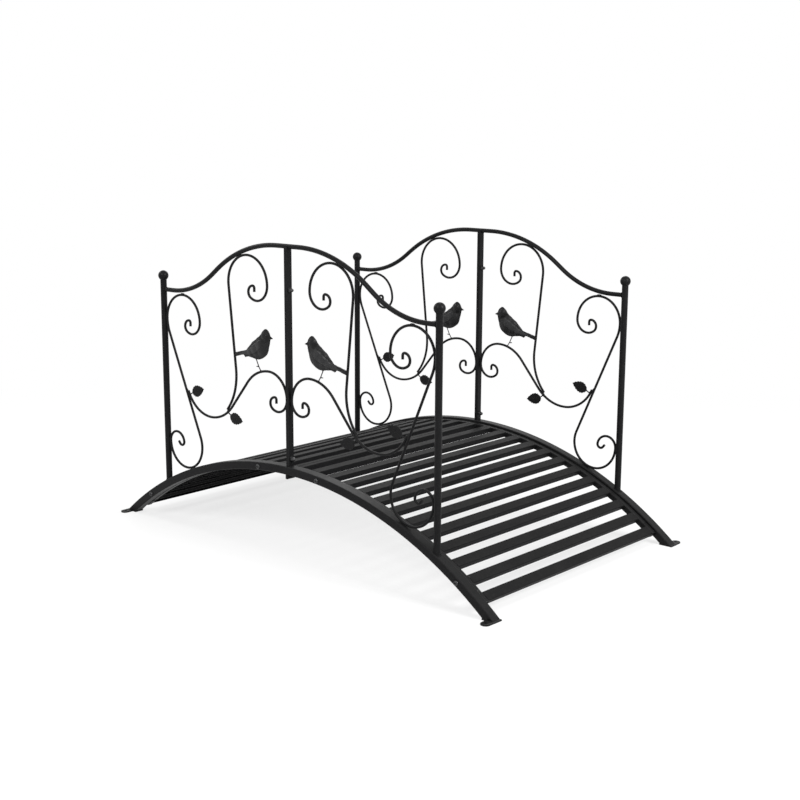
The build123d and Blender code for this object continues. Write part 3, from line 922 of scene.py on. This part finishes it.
# floor, light and camera
studio = {
    "white": (1.0, 1.0, 1.0, 1.0), "room": 0.5, "floorSize": 9.0, "floorDrop": 0.0004, "floorTone": 0.95,
    "shadow": 0.3, "shadowReach": 1.9,
    "lamps": {  # place, target, side of the square lamp, power
        "rightLamp": ((2.7, 0.2, 1.9), (0.0, 0.0, 0.3), 1.3, 95.0),
        "frontLamp": ((0.3, -2.8, 2.2), (0.0, 0.0, 0.3), 1.2, 55.0),
        "leftLamp": ((-2.4, -0.6, 1.9), (0.0, 0.0, 0.3), 0.8, 14.0),
        "backLamp": ((-1.6, 2.2, 2.1), (0.0, 0.0, 0.3), 0.8, 10.0),
    },
}


def seesWhite(tree):  # rays that show the white studio itself
    path = tree.nodes.new("ShaderNodeLightPath")
    direct = mathNode(tree, "MAXIMUM", path.outputs["Is Camera Ray"], path.outputs["Is Glossy Ray"])
    return mathNode(tree, "MAXIMUM", direct, path.outputs["Is Transmission Ray"])


def floorMaterial():  # white to the eye, with the bridge's shadow faintly on it
    material = bpy.data.materials.new("paleFloor")
    material.use_nodes = True
    tree = material.node_tree
    tree.nodes.clear()
    glow = tree.nodes.new("ShaderNodeEmission")
    glow.inputs["Color"].default_value = studio["white"]
    plain = tree.nodes.new("ShaderNodeBsdfDiffuse")
    plain.inputs["Color"].default_value = (studio["floorTone"],) * 3 + (1.0,)
    mixed = tree.nodes.new("ShaderNodeMixShader")
    end = tree.nodes.new("ShaderNodeOutputMaterial")
    distance = tree.nodes.new("ShaderNodeVectorMath")
    distance.operation = "LENGTH"
    tree.links.new(tree.nodes.new("ShaderNodeTexCoord").outputs["Object"], distance.inputs[0])
    share = mathNode(tree, "DIVIDE", distance.outputs["Value"], studio["shadowReach"])
    faded = mathNode(tree, "SUBTRACT", 1.0, mathNode(tree, "MULTIPLY", share, share))
    near = mathNode(tree, "MAXIMUM", faded, 0.0)
    light = mathNode(tree, "SUBTRACT", 1.0, mathNode(tree, "MULTIPLY", near, studio["shadow"]))
    tree.links.new(mathNode(tree, "MULTIPLY", seesWhite(tree), light), mixed.inputs[0])
    tree.links.new(plain.outputs[0], mixed.inputs[1])
    tree.links.new(glow.outputs[0], mixed.inputs[2])
    tree.links.new(mixed.outputs[0], end.inputs[0])
    return material


size = studio["floorSize"]
corners = [(-size, -size), (size, -size), (size, size), (-size, size)]
ground = addMesh("paleFloor", [(x, y, -studio["floorDrop"]) for x, y in corners], [(0, 1, 2, 3)])
ground.data.materials.append(floorMaterial())

world = bpy.data.worlds.new("studioWorld")
bpy.context.scene.world = world
world.use_nodes = True
sky = world.node_tree
sky.nodes.clear()
backdrop = sky.nodes.new("ShaderNodeBackground")
backdrop.inputs["Color"].default_value = studio["white"]
shown = mathNode(sky, "MULTIPLY", seesWhite(sky), 1.0 - studio["room"])
sky.links.new(mathNode(sky, "ADD", shown, studio["room"]), backdrop.inputs["Strength"])
output = sky.nodes.new("ShaderNodeOutputWorld")
sky.links.new(backdrop.outputs[0], output.inputs[0])

for name, (place, target, side, power) in studio["lamps"].items():
    lamp = bpy.data.lights.new(name, "AREA")
    lamp.size = side
    lamp.energy = power
    holder = newPiece(name, lamp)
    holder.location = place
    holder.rotation_euler = (Vector(target) - Vector(place)).to_track_quat("-Z", "Y").to_euler()

# the photograph's own viewpoint: metres, radians, and the focal length in the photograph's pixels
shot = {
    "place": (1.8077, -1.9861, 0.8153), "yaw": -0.7316, "pitch": 0.1999, "roll": 0.0047,
    "focal": 1332.05, "frame": 800.0, "sensor": 36.0, "nearest": 0.02,
}
levelReach = cos(shot["pitch"])
ahead = Vector((levelReach * sin(shot["yaw"]), levelReach * cos(shot["yaw"]), -sin(shot["pitch"])))
level = Vector((cos(shot["yaw"]), -sin(shot["yaw"]), 0.0))
top = level.cross(ahead)
right = cos(shot["roll"]) * level + sin(shot["roll"]) * top
upright = -sin(shot["roll"]) * level + cos(shot["roll"]) * top
lens = bpy.data.cameras.new("photoView")
lens.sensor_width = shot["sensor"]
lens.lens = shot["focal"] * shot["sensor"] / shot["frame"]
lens.clip_start = shot["nearest"]
camera = newPiece("photoView", lens)
turned = Matrix((right, upright, -ahead)).transposed().to_4x4()
camera.matrix_world = Matrix.Translation(Vector(shot["place"])) @ turned
bpy.context.scene.camera = camera
bpy.context.scene.view_settings.view_transform = "Standard"
print("floor, light and camera set")
